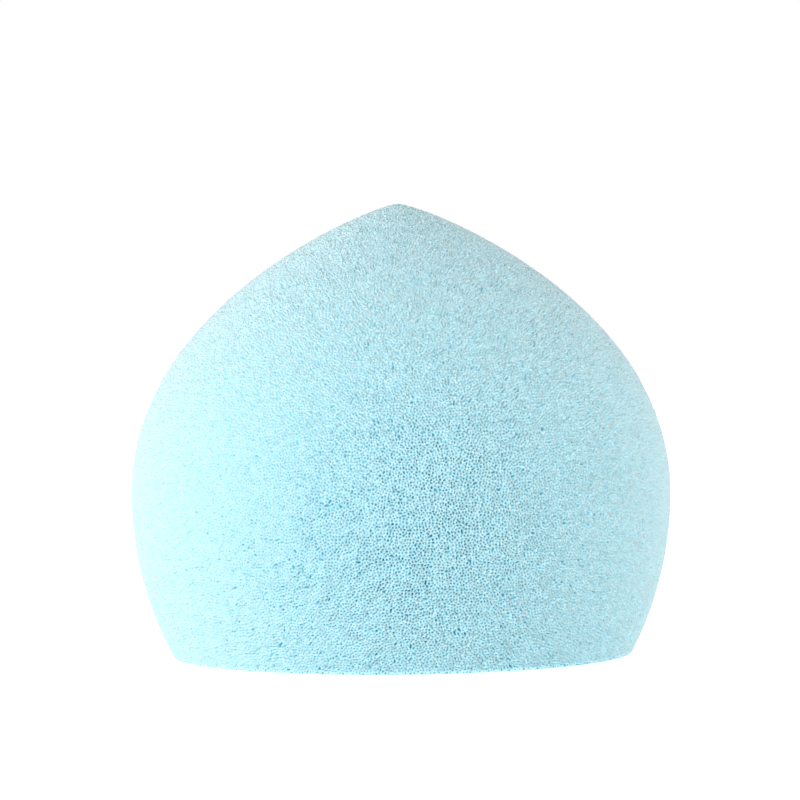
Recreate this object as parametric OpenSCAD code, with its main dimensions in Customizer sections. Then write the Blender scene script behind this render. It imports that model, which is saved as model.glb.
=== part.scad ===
// Makeup sponge: one block of soft open-cell foam, a squat onion dome with a flat cut base.
// Its outline has two curves that meet at the belly, where the sponge is widest: the skirt,
// which tucks in under it to the base, and the crown, which closes over it to a blunt tip.
// The outline is turned about the Z axis. The sponge stands on its base, with the origin at
// the centre of the base. Lengths are in millimetres.

/* [Body] */
// Widest diameter of the sponge, at its belly
body_d = 55; // [40:0.5:75]
// Height from the base to the tip
body_h = 45.9; // [36:0.1:62]
// Height of the belly above the base
belly_h = 16.4; // [8:0.1:24]
// How far the edge of the base lies inside the belly, all round
tuck = 4.1; // [1:0.1:7.5]

/* [Crown] */
// Reach of the crown straight up from the belly: a longer one gives fuller shoulders
belly_pull = 19.3; // [10:0.1:27]
// Reach of the crown outwards from the tip: a shorter one gives a sharper tip
tip_pull = 3; // [1:0.1:10]
// Slope in degrees at which the crown reaches the axis
tip_slope = 5; // [0:1:20]

/* [Smoothness] */
// Steps in the skirt's arc
skirt_steps = 16; // [4:1:60]
// Steps in the crown's curve
crown_steps = 40; // [8:1:120]
// Steps in a full turn about the axis
turn_steps = 180; // [36:12:360]

/* [Hidden] */

body_r = body_d / 2;
base_r = body_r - tuck;
base_edge = [base_r, 0];
belly = [body_r, belly_h];
tip = [0, body_h];

// The skirt is an arc through the edge of the base that stands upright at the belly, so its
// centre is level with the belly and its radius follows from the tuck
skirt_r = (pow(tuck, 2) + pow(belly_h, 2)) / (2 * tuck);
skirt_centre = belly - [skirt_r, 0];
skirt_turn = asin(belly_h / skirt_r);

// The crown leaves the belly upright, where the skirt ends, and reaches the tip at its slope
belly_handle = belly + [0, belly_pull];
tip_handle = tip + tip_pull * [cos(tip_slope), -sin(tip_slope)];

// Point on a cubic curve between two ends, drawn towards a handle at each, at share t of it
function cubic(start, start_handle, end_handle, end, t) =
    pow(1 - t, 3) * start
    + 3 * pow(1 - t, 2) * t * start_handle
    + 3 * (1 - t) * pow(t, 2) * end_handle
    + pow(t, 3) * end;

// Points of the skirt, between the edge of the base and the belly
function skirt_points() =
    [for (i = [1:skirt_steps - 1])
        let (turn = -skirt_turn * (1 - i / skirt_steps))
        skirt_centre + skirt_r * [cos(turn), sin(turn)]];

// Points of the crown, from the belly to the tip
function crown_points() =
    [for (i = [0:crown_steps])
        cubic(belly, belly_handle, tip_handle, tip, i / crown_steps)];

// Right half of the upright section
module half_section() {
    polygon(concat([[0, 0], base_edge], skirt_points(), crown_points()));
}

// The whole sponge, turned from its half section
module foam_body() {
    color("PaleTurquoise") rotate_extrude($fn = turn_steps) half_section();
}

foam_body();
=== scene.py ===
"""Makeup sponge: a squat onion dome of soft open-cell foam with a flat cut base, on a white studio floor.

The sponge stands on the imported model's base, in metres, and replaces its one plain solid. Its
outline follows the same curves as the solid, and its surface is real relief: the cut cells of
the foam, as a net of thin pale walls round small pits.
"""

import math

import bpy
import numpy as np
from bpy.props import FloatProperty, FloatVectorProperty, IntProperty, PointerProperty
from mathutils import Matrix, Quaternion, Vector


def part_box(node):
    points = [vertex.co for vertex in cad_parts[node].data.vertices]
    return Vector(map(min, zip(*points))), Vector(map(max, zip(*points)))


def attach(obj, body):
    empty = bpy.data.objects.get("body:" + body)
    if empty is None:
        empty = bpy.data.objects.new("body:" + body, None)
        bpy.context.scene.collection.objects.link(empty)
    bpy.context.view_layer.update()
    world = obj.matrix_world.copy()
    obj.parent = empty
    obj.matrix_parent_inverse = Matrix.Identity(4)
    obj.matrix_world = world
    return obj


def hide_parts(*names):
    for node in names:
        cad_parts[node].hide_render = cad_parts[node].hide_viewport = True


bl_info = {
    "name": "Makeup Sponge",
    "version": (1, 0, 0),
    "blender": (4, 5, 0),
    "location": "3D View > Sidebar > Sponge",
    "description": "Builds an onion-shaped makeup sponge of open-cell foam and its studio",
    "category": "Add Mesh",
}

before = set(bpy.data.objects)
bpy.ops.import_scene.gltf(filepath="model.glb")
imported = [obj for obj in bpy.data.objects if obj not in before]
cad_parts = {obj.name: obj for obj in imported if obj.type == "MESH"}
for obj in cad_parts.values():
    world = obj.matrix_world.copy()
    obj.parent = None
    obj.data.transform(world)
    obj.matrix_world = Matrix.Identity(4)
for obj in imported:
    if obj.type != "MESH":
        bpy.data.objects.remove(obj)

MM = 0.001
FOAM_NODE = "foam_body"
FOAM_BODY = "root"

# Rows and parts each way in which the pores round a place are looked for
PORE_REACH = 2
# Draws of whether a wall is missing. Pairs of pores share them, and the step spreads the pairs
# over them.
WALL_DRAWS = 9973
PAIR_STEP = 37
# Stands for no length where something is divided by it
NO_LENGTH = 1e-9
# Turn of the folded sheet about the axis, which brings the edges of its quarters to the diagonals
SHEET_TURN = math.pi / 4
# Sockets of the Mix node that hold colours: others have the same names
COLOUR_A, COLOUR_B, COLOUR_OUT = 6, 7, 2

box_low, box_high = (Vector(corner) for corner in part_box(FOAM_NODE))
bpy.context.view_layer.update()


def linear(hex_colour):
    """The linear red, green and blue of an sRGB hex colour such as "#CFEFF5"."""
    shares = [int(hex_colour[i:i + 2], 16) / 255 for i in (1, 3, 5)]
    return tuple(s / 12.92 if s <= 0.04045 else ((s + 0.055) / 1.055) ** 2.4 for s in shares)


class SpongeSizes(bpy.types.PropertyGroup):
    """Outline of the sponge, with the meanings that the part's source gives its sizes, and its mesh."""

    width: FloatProperty(
        name="Width", description="Widest diameter, at the belly",
        default=box_high.x - box_low.x, min=40 * MM, max=75 * MM, unit="LENGTH", subtype="DISTANCE")
    height: FloatProperty(
        name="Height", description="Height from the base to the tip",
        default=box_high.z - box_low.z, min=36 * MM, max=62 * MM, unit="LENGTH", subtype="DISTANCE")
    belly_height: FloatProperty(
        name="Belly height", description="Height of the widest place above the base",
        default=16.4 * MM, min=8 * MM, max=24 * MM, unit="LENGTH", subtype="DISTANCE")
    tuck: FloatProperty(
        name="Tuck", description="How far the edge of the base lies inside the belly",
        default=4.1 * MM, min=1 * MM, max=7.5 * MM, unit="LENGTH", subtype="DISTANCE")
    belly_pull: FloatProperty(
        name="Belly pull", description="Reach of the crown straight up from the belly",
        default=19.3 * MM, min=10 * MM, max=27 * MM, unit="LENGTH", subtype="DISTANCE")
    tip_pull: FloatProperty(
        name="Tip pull", description="Reach of the crown outwards from the tip",
        default=3 * MM, min=1 * MM, max=10 * MM, unit="LENGTH", subtype="DISTANCE")
    tip_slope: FloatProperty(
        name="Tip slope", description="Slope at which the crown reaches the axis",
        default=math.radians(5), min=0, max=math.radians(20), subtype="ANGLE")
    rim_round: FloatProperty(
        name="Rim rounding", description="How far the cut rim's softened corner reaches",
        default=0.1 * MM, min=0.1 * MM, max=2 * MM, unit="LENGTH", subtype="DISTANCE")
    stray: FloatProperty(
        name="Stray", description="Room that each point of the mesh strays in, in steps between points",
        default=0.6, min=0, max=0.8)
    rings: IntProperty(
        name="Rings", description="Rings of points on each half of the surface",
        default=480, min=20, max=490)


class FoamSizes(bpy.types.PropertyGroup):
    """Pores of the foam where its surface cuts them open, and their colours."""

    pore_width: FloatProperty(
        name="Pore width", description="Mean width of a pore",
        default=0.31 * MM, min=0.1 * MM, max=2 * MM, unit="LENGTH", subtype="DISTANCE")
    pore_depth: FloatProperty(
        name="Pore depth", description="Depth of the deepest pores below the walls round them",
        default=0.68 * MM, min=0, max=1 * MM, unit="LENGTH", subtype="DISTANCE")
    shallowest: FloatProperty(
        name="Shallowest", description="Depth of the shallowest pores, as a share of that of the deepest",
        default=0.45, min=0, max=1, subtype="FACTOR")
    scatter: FloatProperty(
        name="Scatter", description="Room that each pore strays in from an even layout, in pore widths",
        default=1.1, min=0, max=1.6)
    settling: IntProperty(
        name="Settling", description="Rounds in which pores that are too close move apart",
        default=6, min=0, max=20)
    missing_walls: FloatProperty(
        name="Missing walls", description="Share of the walls between pores that are missing",
        default=0.03, min=0, max=1, subtype="FACTOR")
    smooth_band: FloatProperty(
        name="Smooth band", description="Reach from the rim and the tip inside which pores are shallower",
        default=0.35 * MM, min=0, max=5 * MM, unit="LENGTH", subtype="DISTANCE")
    slope_share: FloatProperty(
        name="Slope share", description="How far from its wall a pore is deepest, as a share of its width",
        default=0.4, min=0.05, max=1, subtype="FACTOR")
    wall_share: FloatProperty(
        name="Wall share", description="How far a wall's pale colour reaches, as a share of a pore's width",
        default=0.2, min=0.02, max=1, subtype="FACTOR")
    # Painted shade: the pores' bottoms are painted darker and deeper in colour, on top of the relief's real
    # shade
    pit_shade_share: FloatProperty(
        name="Pit share", description="How far from its wall a pore is darkest, as a share of its width",
        default=0.27, min=0.05, max=1, subtype="FACTOR")
    wall_colour: FloatVectorProperty(
        name="Wall colour", description="Colour of the thin walls between the pores",
        default=linear("#E2FBFF"), min=0, max=1, subtype="COLOR")
    side_colour: FloatVectorProperty(
        name="Side colour", description="Colour of the sides of the pores",
        default=linear("#BEF1FC"), min=0, max=1, subtype="COLOR")
    # Colour of the painted shade at the bottoms of the pores
    pit_shade_colour: FloatVectorProperty(
        name="Pit colour", description="Colour of the bottoms of the pores",
        default=linear("#21ADC7"), min=0, max=1, subtype="COLOR")
    # Fades the pores' painted shade from the base up to the tip
    tip_paleness: FloatProperty(
        name="Tip paleness", description="How far the dark of the pores fades from the base up to the tip",
        default=1, min=0, max=1, subtype="FACTOR")
    tip_walls: FloatProperty(
        name="Tip walls", description="How much wider the walls' pale colour gets where the pores fade",
        default=0.125, min=0, max=0.9, subtype="FACTOR")
    seed: IntProperty(
        name="Seed", description="Chooses where the pores fall",
        default=7, min=0)


class StageSizes(bpy.types.PropertyGroup):
    """Floor, world, lamps and camera."""

    floor_side: FloatProperty(
        name="Floor side", description="Side of the square floor",
        default=6, min=1, unit="LENGTH", subtype="DISTANCE")
    paper_colour: FloatVectorProperty(
        name="Paper colour", description="Colour of the floor's paper",
        default=linear("#F3F3F3"), min=0, max=1, subtype="COLOR")
    near_glow: FloatProperty(
        name="Near glow", description="Brightness that the camera sees the paper add by the sponge",
        default=0.55, min=0, max=1)
    bounce: FloatProperty(
        name="Bounce", description="Brightness that the paper adds where it lights the sponge",
        default=0.25, min=0, max=1)
    glow_start: FloatProperty(
        name="Glow start", description="Distance from the axis at which the paper starts to turn plain white",
        default=30 * MM, min=0, unit="LENGTH", subtype="DISTANCE")
    glow_end: FloatProperty(
        name="Glow end", description="Distance from the axis at which the paper is plain white",
        default=120 * MM, min=0, unit="LENGTH", subtype="DISTANCE")
    world_level: FloatProperty(
        name="World level", description="Brightness of the world where it lights the sponge",
        default=0.46, min=0, max=1)
    lamp_side: FloatProperty(
        name="Lamp side", description="Side of each square lamp",
        default=600 * MM, min=0.01, unit="LENGTH", subtype="DISTANCE")
    lamp_distance: FloatProperty(
        name="Lamp distance", description="Distance of each lamp from the point that it faces",
        default=900 * MM, min=0.1, unit="LENGTH", subtype="DISTANCE")
    lamp_target: FloatProperty(
        name="Lamp target", description="Height on the sponge's axis of the point that the lamps face",
        default=20 * MM, min=0, unit="LENGTH", subtype="DISTANCE")
    camera_distance: FloatProperty(
        name="Camera distance", description="Distance of the camera from the sponge's axis",
        default=330 * MM, min=0.1, unit="LENGTH", subtype="DISTANCE")
    camera_height: FloatProperty(
        name="Camera height", description="Height of the camera above the floor",
        default=30.65 * MM, min=0, unit="LENGTH", subtype="DISTANCE")
    camera_dip: FloatProperty(
        name="Camera dip", description="How far below level the camera looks",
        default=math.radians(0.84), subtype="ANGLE")
    camera_roll: FloatProperty(
        name="Camera roll", description="Turn of the camera about the line that it looks along",
        default=math.radians(-0.63), subtype="ANGLE")
    frame_width: FloatProperty(
        name="Frame width", description="Width that the picture shows at the sponge's axis",
        default=81.78 * MM, min=0.01, unit="LENGTH", subtype="DISTANCE")


def crown(sizes, share):
    """Points (radius, height) of the crown at shares from the belly, 0, to the tip, 1: a cubic curve.

    It leaves the belly upright with a handle as long as belly_pull, and reaches the tip along a
    handle of length tip_pull that slopes down outwards by tip_slope.
    """
    belly = np.array([sizes.width / 2, sizes.belly_height])
    tip = np.array([0, sizes.height])
    belly_handle = belly + [0, sizes.belly_pull]
    tip_handle = tip + sizes.tip_pull * np.array([math.cos(sizes.tip_slope), -math.sin(sizes.tip_slope)])
    t = share[:, None]
    return (
        (1 - t) ** 3 * belly
        + 3 * (1 - t) ** 2 * t * belly_handle
        + 3 * (1 - t) * t ** 2 * tip_handle
        + t ** 3 * tip
    )


def skirt(sizes, share):
    """Points of the skirt at shares from the base's edge, 0, to the belly, 1: an arc upright at the belly.

    Its centre is level with the belly, and its radius is (tuck squared + belly height squared)
    over twice the tuck, so that it passes through the edge of the base.
    """
    radius = (sizes.tuck ** 2 + sizes.belly_height ** 2) / (2 * sizes.tuck)
    centre = np.array([sizes.width / 2 - radius, sizes.belly_height])
    turn = -math.asin(sizes.belly_height / radius) * (1 - share)
    return centre + radius * np.stack([np.cos(turn), np.sin(turn)], axis=1)


def outline(sizes, steps=4000, rim_steps=39):
    """Fine points of the right half outline from the tip to the base's centre, and the number of the rim's.

    The rim's corner is a quadratic curve between a point of the skirt and one of the base, each
    rim_round from the corner, which is its handle.
    """
    share = np.linspace(0, 1, steps)
    side = np.concatenate([crown(sizes, share[::-1]), skirt(sizes, share[::-1])[1:]])
    corner = side[-1]
    above = side[np.linalg.norm(side - corner, axis=1) > sizes.rim_round]
    inside = corner - [sizes.rim_round, 0]
    t = np.linspace(0, 1, rim_steps + 1)[1:-1, None]
    rim = (1 - t) ** 2 * above[-1] + 2 * t * (1 - t) * corner + t ** 2 * inside
    base = inside * (1 - share[:, None])
    return np.concatenate([above, rim, base]), len(above) + len(rim) // 2


def way_along(line):
    """Length of the line as far as each of its points: the sum of the steps before it."""
    return np.concatenate([[0], np.cumsum(np.linalg.norm(np.diff(line, axis=0), axis=1))])


def on_outline(line, at, turn):
    """Points at each length along the line from the tip, turned round the axis."""
    radius, height = (np.interp(at, way_along(line), line[:, i]) for i in (0, 1))
    return np.column_stack([radius * np.cos(turn), radius * np.sin(turn), height])


def ring_places(line, rim, n):
    """Radius and height, outward normal and way from the tip of each ring, at equal area per point.

    Ring k has 4 k points as far as the n-th, and 4 (2 n - k) after it, so the first k rings
    hold the share k squared / (2 n squared) of all points, and the rings are placed where that
    share of the turned outline's area lies above them. One ring lies on the rim.
    """
    step = np.diff(line, axis=0)
    length = np.linalg.norm(step, axis=1)
    area = np.concatenate([[0], np.cumsum(length * (line[1:, 0] + line[:-1, 0]))])
    area /= area[-1]
    k = np.arange(2 * n + 1)
    held = np.where(k <= n, k ** 2, 2 * n ** 2 - (2 * n - k) ** 2) / (2 * n ** 2)
    nearest = held[np.argmin(abs(held - area[rim]))]
    held = np.interp(held, [0, nearest, 1], [0, area[rim], 1])
    slope = step / length[:, None]
    middle = (area[1:] + area[:-1]) / 2
    place = np.stack([np.interp(held, area, line[:, i]) for i in (0, 1)], axis=1)
    along = np.stack([np.interp(held, middle, slope[:, i]) for i in (0, 1)], axis=1)
    along[0] = 1, 0
    along[-1] = -1, 0
    along /= np.linalg.norm(along, axis=1)[:, None]
    normal = np.stack([-along[:, 1], along[:, 0]], axis=1)
    return place, normal, np.interp(held, area, way_along(line))


def folded_sheet(n):
    """Ring and turn of each point, and the point under each node of a square sheet folded round the sponge.

    The sheet has 2 n + 1 nodes a side, and its middle lies on the tip. A node that is i and j
    steps from the middle lies on ring |i| + |j|. Past ring n the sheet's four corners fold under:
    such a node lies n - |j| and n - |i| steps from the base's centre. A ring of m points a
    quarter counts them from the +i side round through +j.
    """
    i, j = np.meshgrid(np.arange(-n, n + 1), np.arange(-n, n + 1), indexing="ij")
    under = abs(i) + abs(j) > n
    a = np.where(under, n - abs(j), abs(i))
    b = np.where(under, n - abs(i), abs(j))
    m = a + b
    quarter = np.select([(i > 0) & (j >= 0), (i <= 0) & (j > 0), (i < 0) & (j <= 0)], [0, 1, 2], 3)
    along_j = (quarter == 0) | (quarter == 2)
    round_it = (quarter * m + np.where(along_j, b, a)) % np.maximum(4 * m, 1)
    before = np.where(m > 0, 1 + 2 * m * (m - 1), 0)
    total = 4 * n ** 2 + 2
    index = np.where(under, total - 1 - before - round_it, before + round_it).ravel()
    rings = np.zeros(total, int)
    rings[index] = np.where(under, 2 * n - m, m).ravel()
    turns = np.zeros(total)
    turns[index] = (round_it / np.maximum(m, 1) * math.pi / 2).ravel()
    return rings, turns, index


def sheet_triangles(n):
    """Place of each node on the flat sheet, and the nodes of the triangles between them.

    Each square between four nodes is cut along the diagonal whose two ends lie on one ring.
    """
    side = 2 * n + 1
    nodes = np.arange(side ** 2).reshape(side, side)
    corners = np.stack([nodes[:-1, :-1], nodes[1:, :-1], nodes[1:, 1:], nodes[:-1, 1:]], axis=-1)
    middle = np.arange(-n, n) + 0.5
    triangles = np.where(
        (middle[:, None] * middle > 0)[..., None, None],
        corners[..., [[0, 1, 3], [1, 2, 3]]],
        corners[..., [[0, 1, 2], [0, 2, 3]]],
    ).reshape(-1, 3)
    return np.column_stack([nodes.ravel() // side, nodes.ravel() % side]), triangles


def well_shaped(points, sheet, triangles, rounds=4):
    """The triangles, with those edges between two of them turned that leave pointed ones.

    An edge turns to the other diagonal of its two triangles if the angles across it add up to
    over 180 degrees and the new triangles don't fold over on the flat sheet. A triangle takes
    part in one turn a round at most: the one that draws the highest number.
    """
    chance = np.random.default_rng(0)
    for _ in range(rounds):
        start = triangles.ravel()
        end = np.roll(triangles, -1, axis=1).ravel()
        edge = np.minimum(start, end) * len(points) + np.maximum(start, end)
        order = np.argsort(edge)
        shared = np.diff(edge[order]) == 0
        one, two = order[:-1][shared], order[1:][shared]
        a, b = start[one], end[one]
        c, d = (triangles[side // 3, (side + 2) % 3] for side in (one, two))
        # Cosine and sine of the angle at each corner across the edge, both times the same length
        angles = []
        for corner in (c, d):
            to_a, to_b = points[a] - points[corner], points[b] - points[corner]
            angles.append(((to_a * to_b).sum(axis=1), np.linalg.norm(np.cross(to_a, to_b), axis=1)))
        (cos_c, sin_c), (cos_d, sin_d) = angles
        turned = cos_c * sin_d + sin_c * cos_d < 0
        for corners in ((a, d, c), (d, b, c)):
            first, second = (sheet[corner] - sheet[corners[0]] for corner in corners[1:])
            turned &= first[:, 0] * second[:, 1] > first[:, 1] * second[:, 0]
        # An edge that wouldn't turn draws 0, below every other
        draw = chance.uniform(0.1, 1, len(one)) * turned
        highest = np.zeros(len(triangles))
        np.maximum.at(highest, one // 3, draw)
        np.maximum.at(highest, two // 3, draw)
        turned &= (draw == highest[one // 3]) & (draw == highest[two // 3])
        triangles[one[turned] // 3] = np.stack([a, d, c], axis=1)[turned]
        triangles[two[turned] // 3] = np.stack([d, b, c], axis=1)[turned]
    return triangles


def smooth_step(low, high, value):
    """Rises smoothly from 0 at low to 1 at high: 3 t squared - 2 t cubed."""
    t = np.clip((value - low) / (high - low), 0, 1)
    return t * t * (3 - 2 * t)


class Pores:
    """Pores strewn over the turned outline, in rows round the axis that are one pore width apart.

    A row starts anywhere round the axis and is cut into as many equal parts as pore widths fit
    round it. Each part has one pore, whose centre strays from the part's middle both ways by up
    to half of scatter pore widths, and then settles. A wall stands half way between two pores'
    centres, square to the line between them, and some walls are missing.
    """

    def __init__(self, line, foam):
        chance = np.random.default_rng(foam.seed)
        self.line = line
        self.way = way_along(line)
        self.width = foam.pore_width
        self.rows = round(self.way[-1] / self.width)
        self.row_height = self.way[-1] / self.rows
        middle = (np.arange(self.rows) + 0.5) * self.row_height
        girth = 2 * math.pi * np.interp(middle, self.way, line[:, 0])
        self.parts = np.maximum(np.rint(girth / self.width), 1).astype(int)
        self.first = np.cumsum(self.parts) - self.parts
        self.start = chance.uniform(0, 1, self.rows)
        row = np.repeat(np.arange(self.rows), self.parts)
        part = np.arange(len(row)) - self.first[row]
        stray = 0.5 + foam.scatter * chance.uniform(-0.5, 0.5, (2, len(row)))
        at = np.clip((row + stray[0]) * self.row_height, 0, self.way[-1])
        turn = (self.start[row] + (part + stray[1]) / self.parts[row]) * 2 * math.pi
        for _ in range(foam.settling):
            at, turn = self.apart(at, turn)
        self.centres = on_outline(line, at, turn).astype(np.float32)
        # Each pore's depth, as a share of pore_depth, which also sets how much painted shade its bottom gets
        self.depths = chance.uniform(foam.shallowest, 1, len(row))
        self.missing = chance.uniform(0, 1, WALL_DRAWS) < foam.missing_walls

    def apart(self, at, turn):
        """Places of the pores after each has moved away from the closest other one.

        It moves by half of what the gap between the two lacks to a pore width: along the outline
        by the part of the move that lies on it, and round the axis by the part square to that.
        """
        centres = on_outline(self.line, at, turn)
        numbers = self.around(at, turn)
        ahead = centres[numbers] - centres
        gap = np.where(numbers == np.arange(len(at)), np.inf, np.linalg.norm(ahead, axis=2))
        closest = gap.argmin(axis=0)[None]
        least = self.width / 10
        gap = np.maximum(np.take_along_axis(gap, closest, axis=0)[0], least)
        ahead = np.take_along_axis(ahead, closest[..., None], axis=0)[0]
        move = ahead * (np.minimum(gap / self.width - 1, 0) / gap * self.width / 2)[:, None]
        slope = np.gradient(self.line, self.way, axis=0)
        radius, out, up = (np.interp(at, self.way, values) for values in (self.line[:, 0], *slope.T))
        outward = move[:, 0] * np.cos(turn) + move[:, 1] * np.sin(turn)
        onward = move[:, 1] * np.cos(turn) - move[:, 0] * np.sin(turn)
        at = np.clip(at + outward * out + move[:, 2] * up, 0, self.way[-1])
        return at, turn + onward / np.maximum(radius, self.width)

    def near(self, at, turn, row_step, part_step):
        """Numbers of the pores that many rows and parts away from the one at each place."""
        row = np.clip((at / self.row_height).astype(int) + row_step, 0, self.rows - 1)
        part = np.floor((turn / (2 * math.pi) - self.start[row]) * self.parts[row]).astype(int)
        return self.first[row] + (part + part_step) % self.parts[row]

    def around(self, at, turn):
        """Numbers of all the pores up to PORE_REACH rows and parts away from each place."""
        steps = range(-PORE_REACH, PORE_REACH + 1)
        return np.stack([self.near(at, turn, i, j) for i in steps for j in steps])

    def measure(self, points, at, turn):
        """Distance of each point from the nearest wall round its pore, in pore widths, and the pore's depth.

        A point is in the pore whose centre is nearest. Its distance from the wall to another
        pore is how far it lies before the point half way between the two centres, on the line
        through them. The depth is a share of pore_depth.
        """
        points = points.astype(np.float32)
        numbers = self.around(at, turn)
        squares = np.stack([((self.centres[number] - points) ** 2).sum(axis=1) for number in numbers])
        own = np.take_along_axis(numbers, squares.argmin(axis=0)[None], axis=0)[0]
        nearest = self.centres[own] - points
        distance = np.full(len(points), self.width, np.float32)
        for number in numbers:
            ahead = self.centres[number] - points
            between = ahead - nearest
            length = np.maximum(np.linalg.norm(between, axis=1), NO_LENGTH)
            off = ((ahead + nearest) * between).sum(axis=1) / (2 * length)
            pair = ((number + own) * PAIR_STEP + abs(number - own)) % WALL_DRAWS
            no_wall = (number == own) | self.missing[pair]
            distance = np.where(no_wall, distance, np.minimum(distance, off))
        return distance / self.width, self.depths[own]


def sponge_surface(sizes, foam):
    """Points and triangles, the triangles' corners on the flat sheet, and two values of each point.

    A point starts on the turned outline, where it strays from its ring and round it by up to
    half of stray steps. It then sinks along its normal by the pore's depth there, which is
    nothing on the walls, the rim and the tip, and grows over slope_share of a pore's width and
    over smooth_band. The values are the distance from the nearest wall in pore widths and the
    painted shade of the pore, from 0 to 1, which the material paints at the bottoms of the pores.
    Up to the tip the painted shade fades and the walls' pale colour widens.
    """
    n = sizes.rings
    line, rim = outline(sizes)
    rim_way = way_along(line)[rim]
    place, normal, way = ring_places(line, rim, n)
    rings, turns, index = folded_sheet(n)
    still = np.isin(rings, [0, 2 * n, np.argmin(abs(way - rim_way))])
    stray = sizes.stray * np.random.default_rng(foam.seed).uniform(-0.5, 0.5, (2, len(rings)))
    along = np.where(still, rings, rings + stray[0])
    quarter_points = np.maximum(np.minimum(rings, 2 * n - rings), 1)
    turns += SHEET_TURN + stray[1] * math.pi / 2 / quarter_points
    radius, height, out, up, at = (
        np.interp(along, np.arange(2 * n + 1), values) for values in (*place.T, *normal.T, way))
    round_it = np.stack([np.cos(turns), np.sin(turns)], axis=1)
    points = np.column_stack([radius[:, None] * round_it, height])
    normals = np.column_stack([out[:, None] * round_it, up])

    off_wall, pore = Pores(line, foam).measure(points, at, turns)
    off_edge = np.minimum(at, abs(at - rim_way))
    depth = pore * smooth_step(0, foam.slope_share, off_wall) * smooth_step(0, foam.smooth_band, off_edge)
    # From here pore holds each pore's painted shade, which fades up to the tip
    pale = foam.tip_paleness * smooth_step(0, sizes.height, points[:, 2])
    pore *= 1 - pale
    off_wall *= 1 - foam.tip_walls * pale

    sheet, triangles = sheet_triangles(n)
    triangles = well_shaped(points[index], sheet, triangles)
    points -= normals * (foam.pore_depth * depth)[:, None]
    return points, index[triangles], sheet[triangles].reshape(-1, 2) / (2 * n), off_wall, pore


def new_mesh(name, points, triangles):
    """A mesh of those triangles, smooth all over."""
    mesh = bpy.data.meshes.new(name)
    mesh.vertices.add(len(points))
    mesh.vertices.foreach_set("co", points.astype(np.float32).ravel())
    mesh.loops.add(triangles.size)
    mesh.loops.foreach_set("vertex_index", triangles.astype(np.int32).ravel())
    mesh.polygons.add(len(triangles))
    mesh.polygons.foreach_set("loop_start", np.arange(0, triangles.size, 3, dtype=np.int32))
    mesh.polygons.foreach_set("use_smooth", np.ones(len(triangles), bool))
    mesh.update(calc_edges=True)
    return mesh


def new_object(scene, name, data):
    """An object that holds the data, in the scene."""
    made = bpy.data.objects.new(name, data)
    scene.collection.objects.link(made)
    return made


def node(tree, kind, inputs=None, **settings):
    """Adds a node with its settings.

    Its inputs are plain values, or other nodes' outputs, which are linked.
    """
    made = tree.nodes.new(kind)
    for name, value in settings.items():
        setattr(made, name, value)
    for socket, value in (inputs or {}).items():
        if isinstance(value, bpy.types.NodeSocket):
            tree.links.new(value, made.inputs[socket])
        else:
            made.inputs[socket].default_value = value
    return made


def empty_tree(owner):
    """The node tree of a material or a world, emptied."""
    owner.use_nodes = True
    owner.node_tree.nodes.clear()
    return owner.node_tree


def polyurethane_foam(foam):
    """Open-cell polyurethane foam, dyed in the mass, foamed in a mould and cut.

    Its thin cell walls scatter light and look pale. The bottoms of the pores are painted shade:
    light that goes down into a pore comes back dimmer and deeper in colour, and the colour of the
    pores' bottoms paints that in, over the real shade of the relief. It is matt, and cut cells leave
    little of a surface to shine. The mesh's attributes say how far off the walls a place is and how
    much painted shade its pore gets.
    """
    material = bpy.data.materials.new("open-cell polyurethane foam")
    tree = empty_tree(material)
    off_wall = node(tree, "ShaderNodeAttribute", attribute_name="off_wall")
    wall = node(tree, "ShaderNodeMapRange", {
        "Value": off_wall.outputs["Fac"],
        "From Max": foam.wall_share,
        "To Min": 1.0,
        "To Max": 0.0,
    }, interpolation_type="SMOOTHSTEP")
    pore = node(tree, "ShaderNodeAttribute", attribute_name="pore")
    # Painted shade: how far a place takes on the dark colour of the pores' bottoms, growing off the wall to
    # the darkest place and scaled by its pore's painted shade
    pit_shade = node(tree, "ShaderNodeMapRange", {
        "Value": off_wall.outputs["Fac"],
        "From Min": foam.wall_share,
        "From Max": foam.pit_shade_share,
        "To Max": pore.outputs["Fac"],
    }, interpolation_type="SMOOTHSTEP")
    inner = node(tree, "ShaderNodeMix", {
        "Factor": pit_shade.outputs[0],
        COLOUR_A: (*foam.side_colour, 1),
        COLOUR_B: (*foam.pit_shade_colour, 1),
    }, data_type="RGBA")
    colour = node(tree, "ShaderNodeMix", {
        "Factor": wall.outputs[0],
        COLOUR_A: inner.outputs[COLOUR_OUT],
        COLOUR_B: (*foam.wall_colour, 1),
    }, data_type="RGBA")
    shader = node(tree, "ShaderNodeBsdfPrincipled", {
        "Base Color": colour.outputs[COLOUR_OUT],
        "Roughness": 0.9,
        "Specular IOR Level": 0.2,
    })
    node(tree, "ShaderNodeOutputMaterial", {"Surface": shader.outputs["BSDF"]})
    return material


def seen_or_lighting(tree, seen, lighting):
    """A brightness that is one value where the camera sees it and another where it lights something.

    What a glossy or a clear surface shows of it counts as seen.
    """
    path = node(tree, "ShaderNodeLightPath")
    by_camera = path.outputs["Is Camera Ray"]
    for ray in ("Is Glossy Ray", "Is Transmission Ray"):
        either = node(tree, "ShaderNodeMath", {0: by_camera, 1: path.outputs[ray]}, operation="MAXIMUM")
        by_camera = either.outputs[0]
    level = node(tree, "ShaderNodeMapRange", {"Value": by_camera, "To Min": lighting, "To Max": seen})
    return level.outputs[0]


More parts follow.
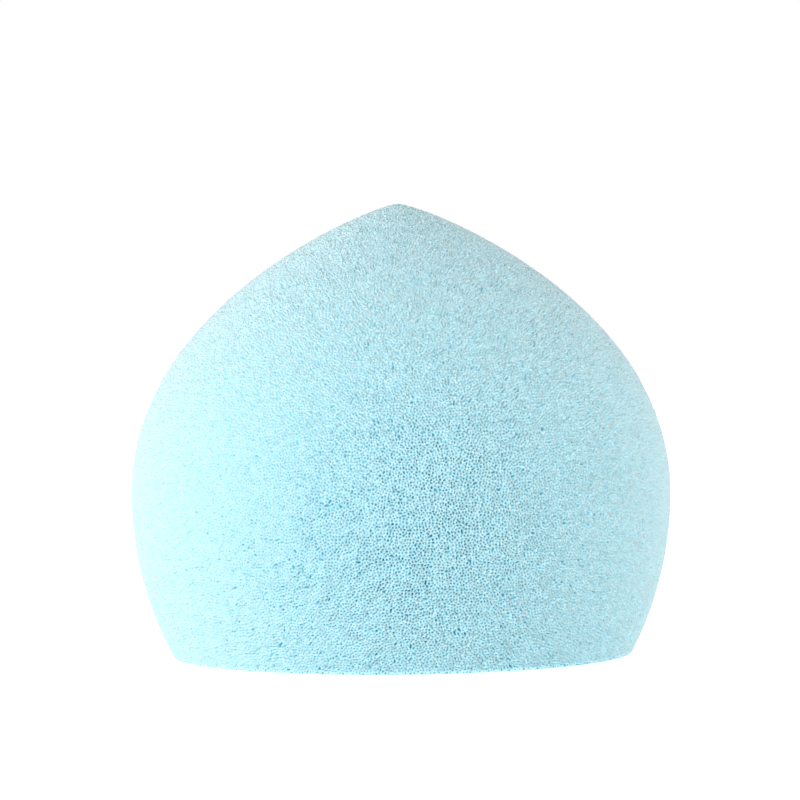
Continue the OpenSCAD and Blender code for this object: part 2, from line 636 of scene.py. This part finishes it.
def matt_paper(stage):
    """Matt white paper, which shows the lamps' light and soft shadows evenly.

    A glow is added to the paper. Where the camera sees it, it makes up what the lamps leave
    short of white by the sponge, and grows with the distance to plain white. Where it lights the
    sponge, it stands for light that bounces up off the paper round it.
    """
    material = bpy.data.materials.new("matt white paper")
    tree = empty_tree(material)
    place = node(tree, "ShaderNodeTexCoord")
    away = node(tree, "ShaderNodeVectorMath", {0: place.outputs["Object"]}, operation="LENGTH")
    far = node(tree, "ShaderNodeMapRange", {
        "Value": away.outputs["Value"],
        "From Min": stage.glow_start,
        "From Max": stage.glow_end,
        "To Min": stage.near_glow,
        "To Max": 1.0,
    }, interpolation_type="SMOOTHSTEP")
    paper = node(tree, "ShaderNodeBsdfDiffuse", {"Color": (*stage.paper_colour, 1)})
    glow = node(tree, "ShaderNodeEmission", {
        "Color": (*linear("#FFFFFF"), 1),
        "Strength": seen_or_lighting(tree, far.outputs[0], stage.bounce),
    })
    both = node(tree, "ShaderNodeAddShader", {0: paper.outputs[0], 1: glow.outputs[0]})
    node(tree, "ShaderNodeOutputMaterial", {"Surface": both.outputs[0]})
    return material


def white_world(stage):
    """A world that is plain white where the camera sees it, and lights the sponge evenly from all sides."""
    world = bpy.data.worlds.new("white studio")
    tree = empty_tree(world)
    sky = node(tree, "ShaderNodeBackground", {
        "Color": (*linear("#FFFFFF"), 1),
        "Strength": seen_or_lighting(tree, 1.0, stage.world_level),
    })
    node(tree, "ShaderNodeOutputWorld", {"Surface": sky.outputs[0]})
    return world


def area_lamp(scene, name, place, target, side, level):
    """A square softbox at place that faces target, where it gives a white card that brightness.

    A lamp of power P gives a card at distance d the brightness P over the square of (pi d).
    """
    lamp = bpy.data.lights.new(name, "AREA")
    lamp.shape = "SQUARE"
    lamp.size = side
    gap = target - place
    lamp.energy = level * math.pi ** 2 * gap.length ** 2
    lit = new_object(scene, name, lamp)
    lit.location = place
    lit.rotation_mode = "QUATERNION"
    lit.rotation_quaternion = gap.to_track_quat("-Z", "Y")


def photo_camera(scene, stage):
    """A camera in front of the sponge, whose picture is frame_width wide at the sponge's axis."""
    view = bpy.data.cameras.new("camera")
    view.lens = view.sensor_width * stage.camera_distance / stage.frame_width
    camera = new_object(scene, "camera", view)
    camera.location = (0, -stage.camera_distance, stage.camera_height)
    camera.rotation_mode = "QUATERNION"
    ahead = Vector((0, math.cos(stage.camera_dip), -math.sin(stage.camera_dip)))
    roll = Quaternion((0, 0, 1), stage.camera_roll)
    camera.rotation_quaternion = ahead.to_track_quat("-Z", "Y") @ roll
    return camera


# Name, degrees to the right of the sponge's front, degrees above the point that the lamp faces,
# and the brightness that it gives a white card there
LAMPS = (
    ("left softbox", -90, 7, 0.5),
    ("front left softbox", -30, 8, 0.64),
    ("right softbox", 80, 6, 0.57),
    ("back left fill", -150, 12, 0.22),
    ("back right fill", 150, 12, 0.22),
)


class SPONGE_OT_foam_sponge(bpy.types.Operator):
    """Build the sponge's pored foam surface in place of the plain solid"""

    bl_idname = "sponge.foam_sponge"
    bl_label = "Foam sponge"

    def execute(self, context):
        scene = context.scene
        foam = scene.foam_sizes
        points, triangles, uvs, off_wall, pore = sponge_surface(scene.sponge_sizes, foam)
        mesh = new_mesh("foam_sponge", points, triangles)
        sheet = mesh.uv_layers.new(name="OFBake")
        sheet.data.foreach_set("uv", uvs.astype(np.float32).ravel())
        # The pore attribute carries each pore's painted shade to the material
        for name, values in (("off_wall", off_wall), ("pore", pore)):
            kept = mesh.attributes.new(name, "FLOAT", "POINT")
            kept.data.foreach_set("value", values.astype(np.float32))
        mesh.materials.append(polyurethane_foam(foam))
        sponge = new_object(scene, "foam_sponge", mesh)
        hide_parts(FOAM_NODE)
        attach(sponge, FOAM_BODY)
        return {"FINISHED"}


class SPONGE_OT_stage(bpy.types.Operator):
    """Build the floor, the world, the lamps and the camera"""

    bl_idname = "sponge.stage"
    bl_label = "Stage"

    def execute(self, context):
        scene = context.scene
        stage = scene.stage_sizes
        half = stage.floor_side / 2
        corners = np.array([(-half, -half, 0), (half, -half, 0), (half, half, 0), (-half, half, 0)])
        mesh = new_mesh("floor", corners, np.array([(0, 1, 2), (0, 2, 3)]))
        mesh.materials.append(matt_paper(stage))
        floor = new_object(scene, "floor", mesh)
        scene.world = white_world(stage)

        target = Vector((0, 0, stage.lamp_target))
        for name, azimuth, elevation, level in LAMPS:
            a = math.radians(azimuth)
            e = math.radians(elevation)
            away = Vector((math.sin(a) * math.cos(e), -math.cos(a) * math.cos(e), math.sin(e)))
            area_lamp(scene, name, target + stage.lamp_distance * away, target, stage.lamp_side, level)

        scene.camera = photo_camera(scene, stage)
        scene.view_settings.view_transform = "Standard"
        return {"FINISHED"}


class SPONGE_PT_panel(bpy.types.Panel):
    """Sizes, colours and build buttons of the sponge"""

    bl_idname = "SPONGE_PT_panel"
    bl_label = "Makeup Sponge"
    bl_space_type = "VIEW_3D"
    bl_region_type = "UI"
    bl_category = "Sponge"

    def draw(self, context):
        for operator, groups in BUTTONS:
            self.layout.operator(operator.bl_idname)
            for group in groups:
                held = getattr(context.scene, group)
                for name in held.bl_rna.properties.keys():
                    if name not in ("rna_type", "name"):
                        self.layout.prop(held, name)


GROUPS = {
    "sponge_sizes": SpongeSizes,
    "foam_sizes": FoamSizes,
    "stage_sizes": StageSizes,
}
BUTTONS = (
    (SPONGE_OT_foam_sponge, ("sponge_sizes", "foam_sizes")),
    (SPONGE_OT_stage, ("stage_sizes",)),
)
CLASSES = (*GROUPS.values(), SPONGE_OT_foam_sponge, SPONGE_OT_stage, SPONGE_PT_panel)


def register():
    for made in CLASSES:
        bpy.utils.register_class(made)
    for name, group in GROUPS.items():
        setattr(bpy.types.Scene, name, PointerProperty(type=group))


def unregister():
    for name in GROUPS:
        delattr(bpy.types.Scene, name)
    for made in reversed(CLASSES):
        bpy.utils.unregister_class(made)


def main():
    """Builds everything."""
    register()
    bpy.ops.sponge.foam_sponge()
    bpy.ops.sponge.stage()


if __name__ == "__main__":
    main()
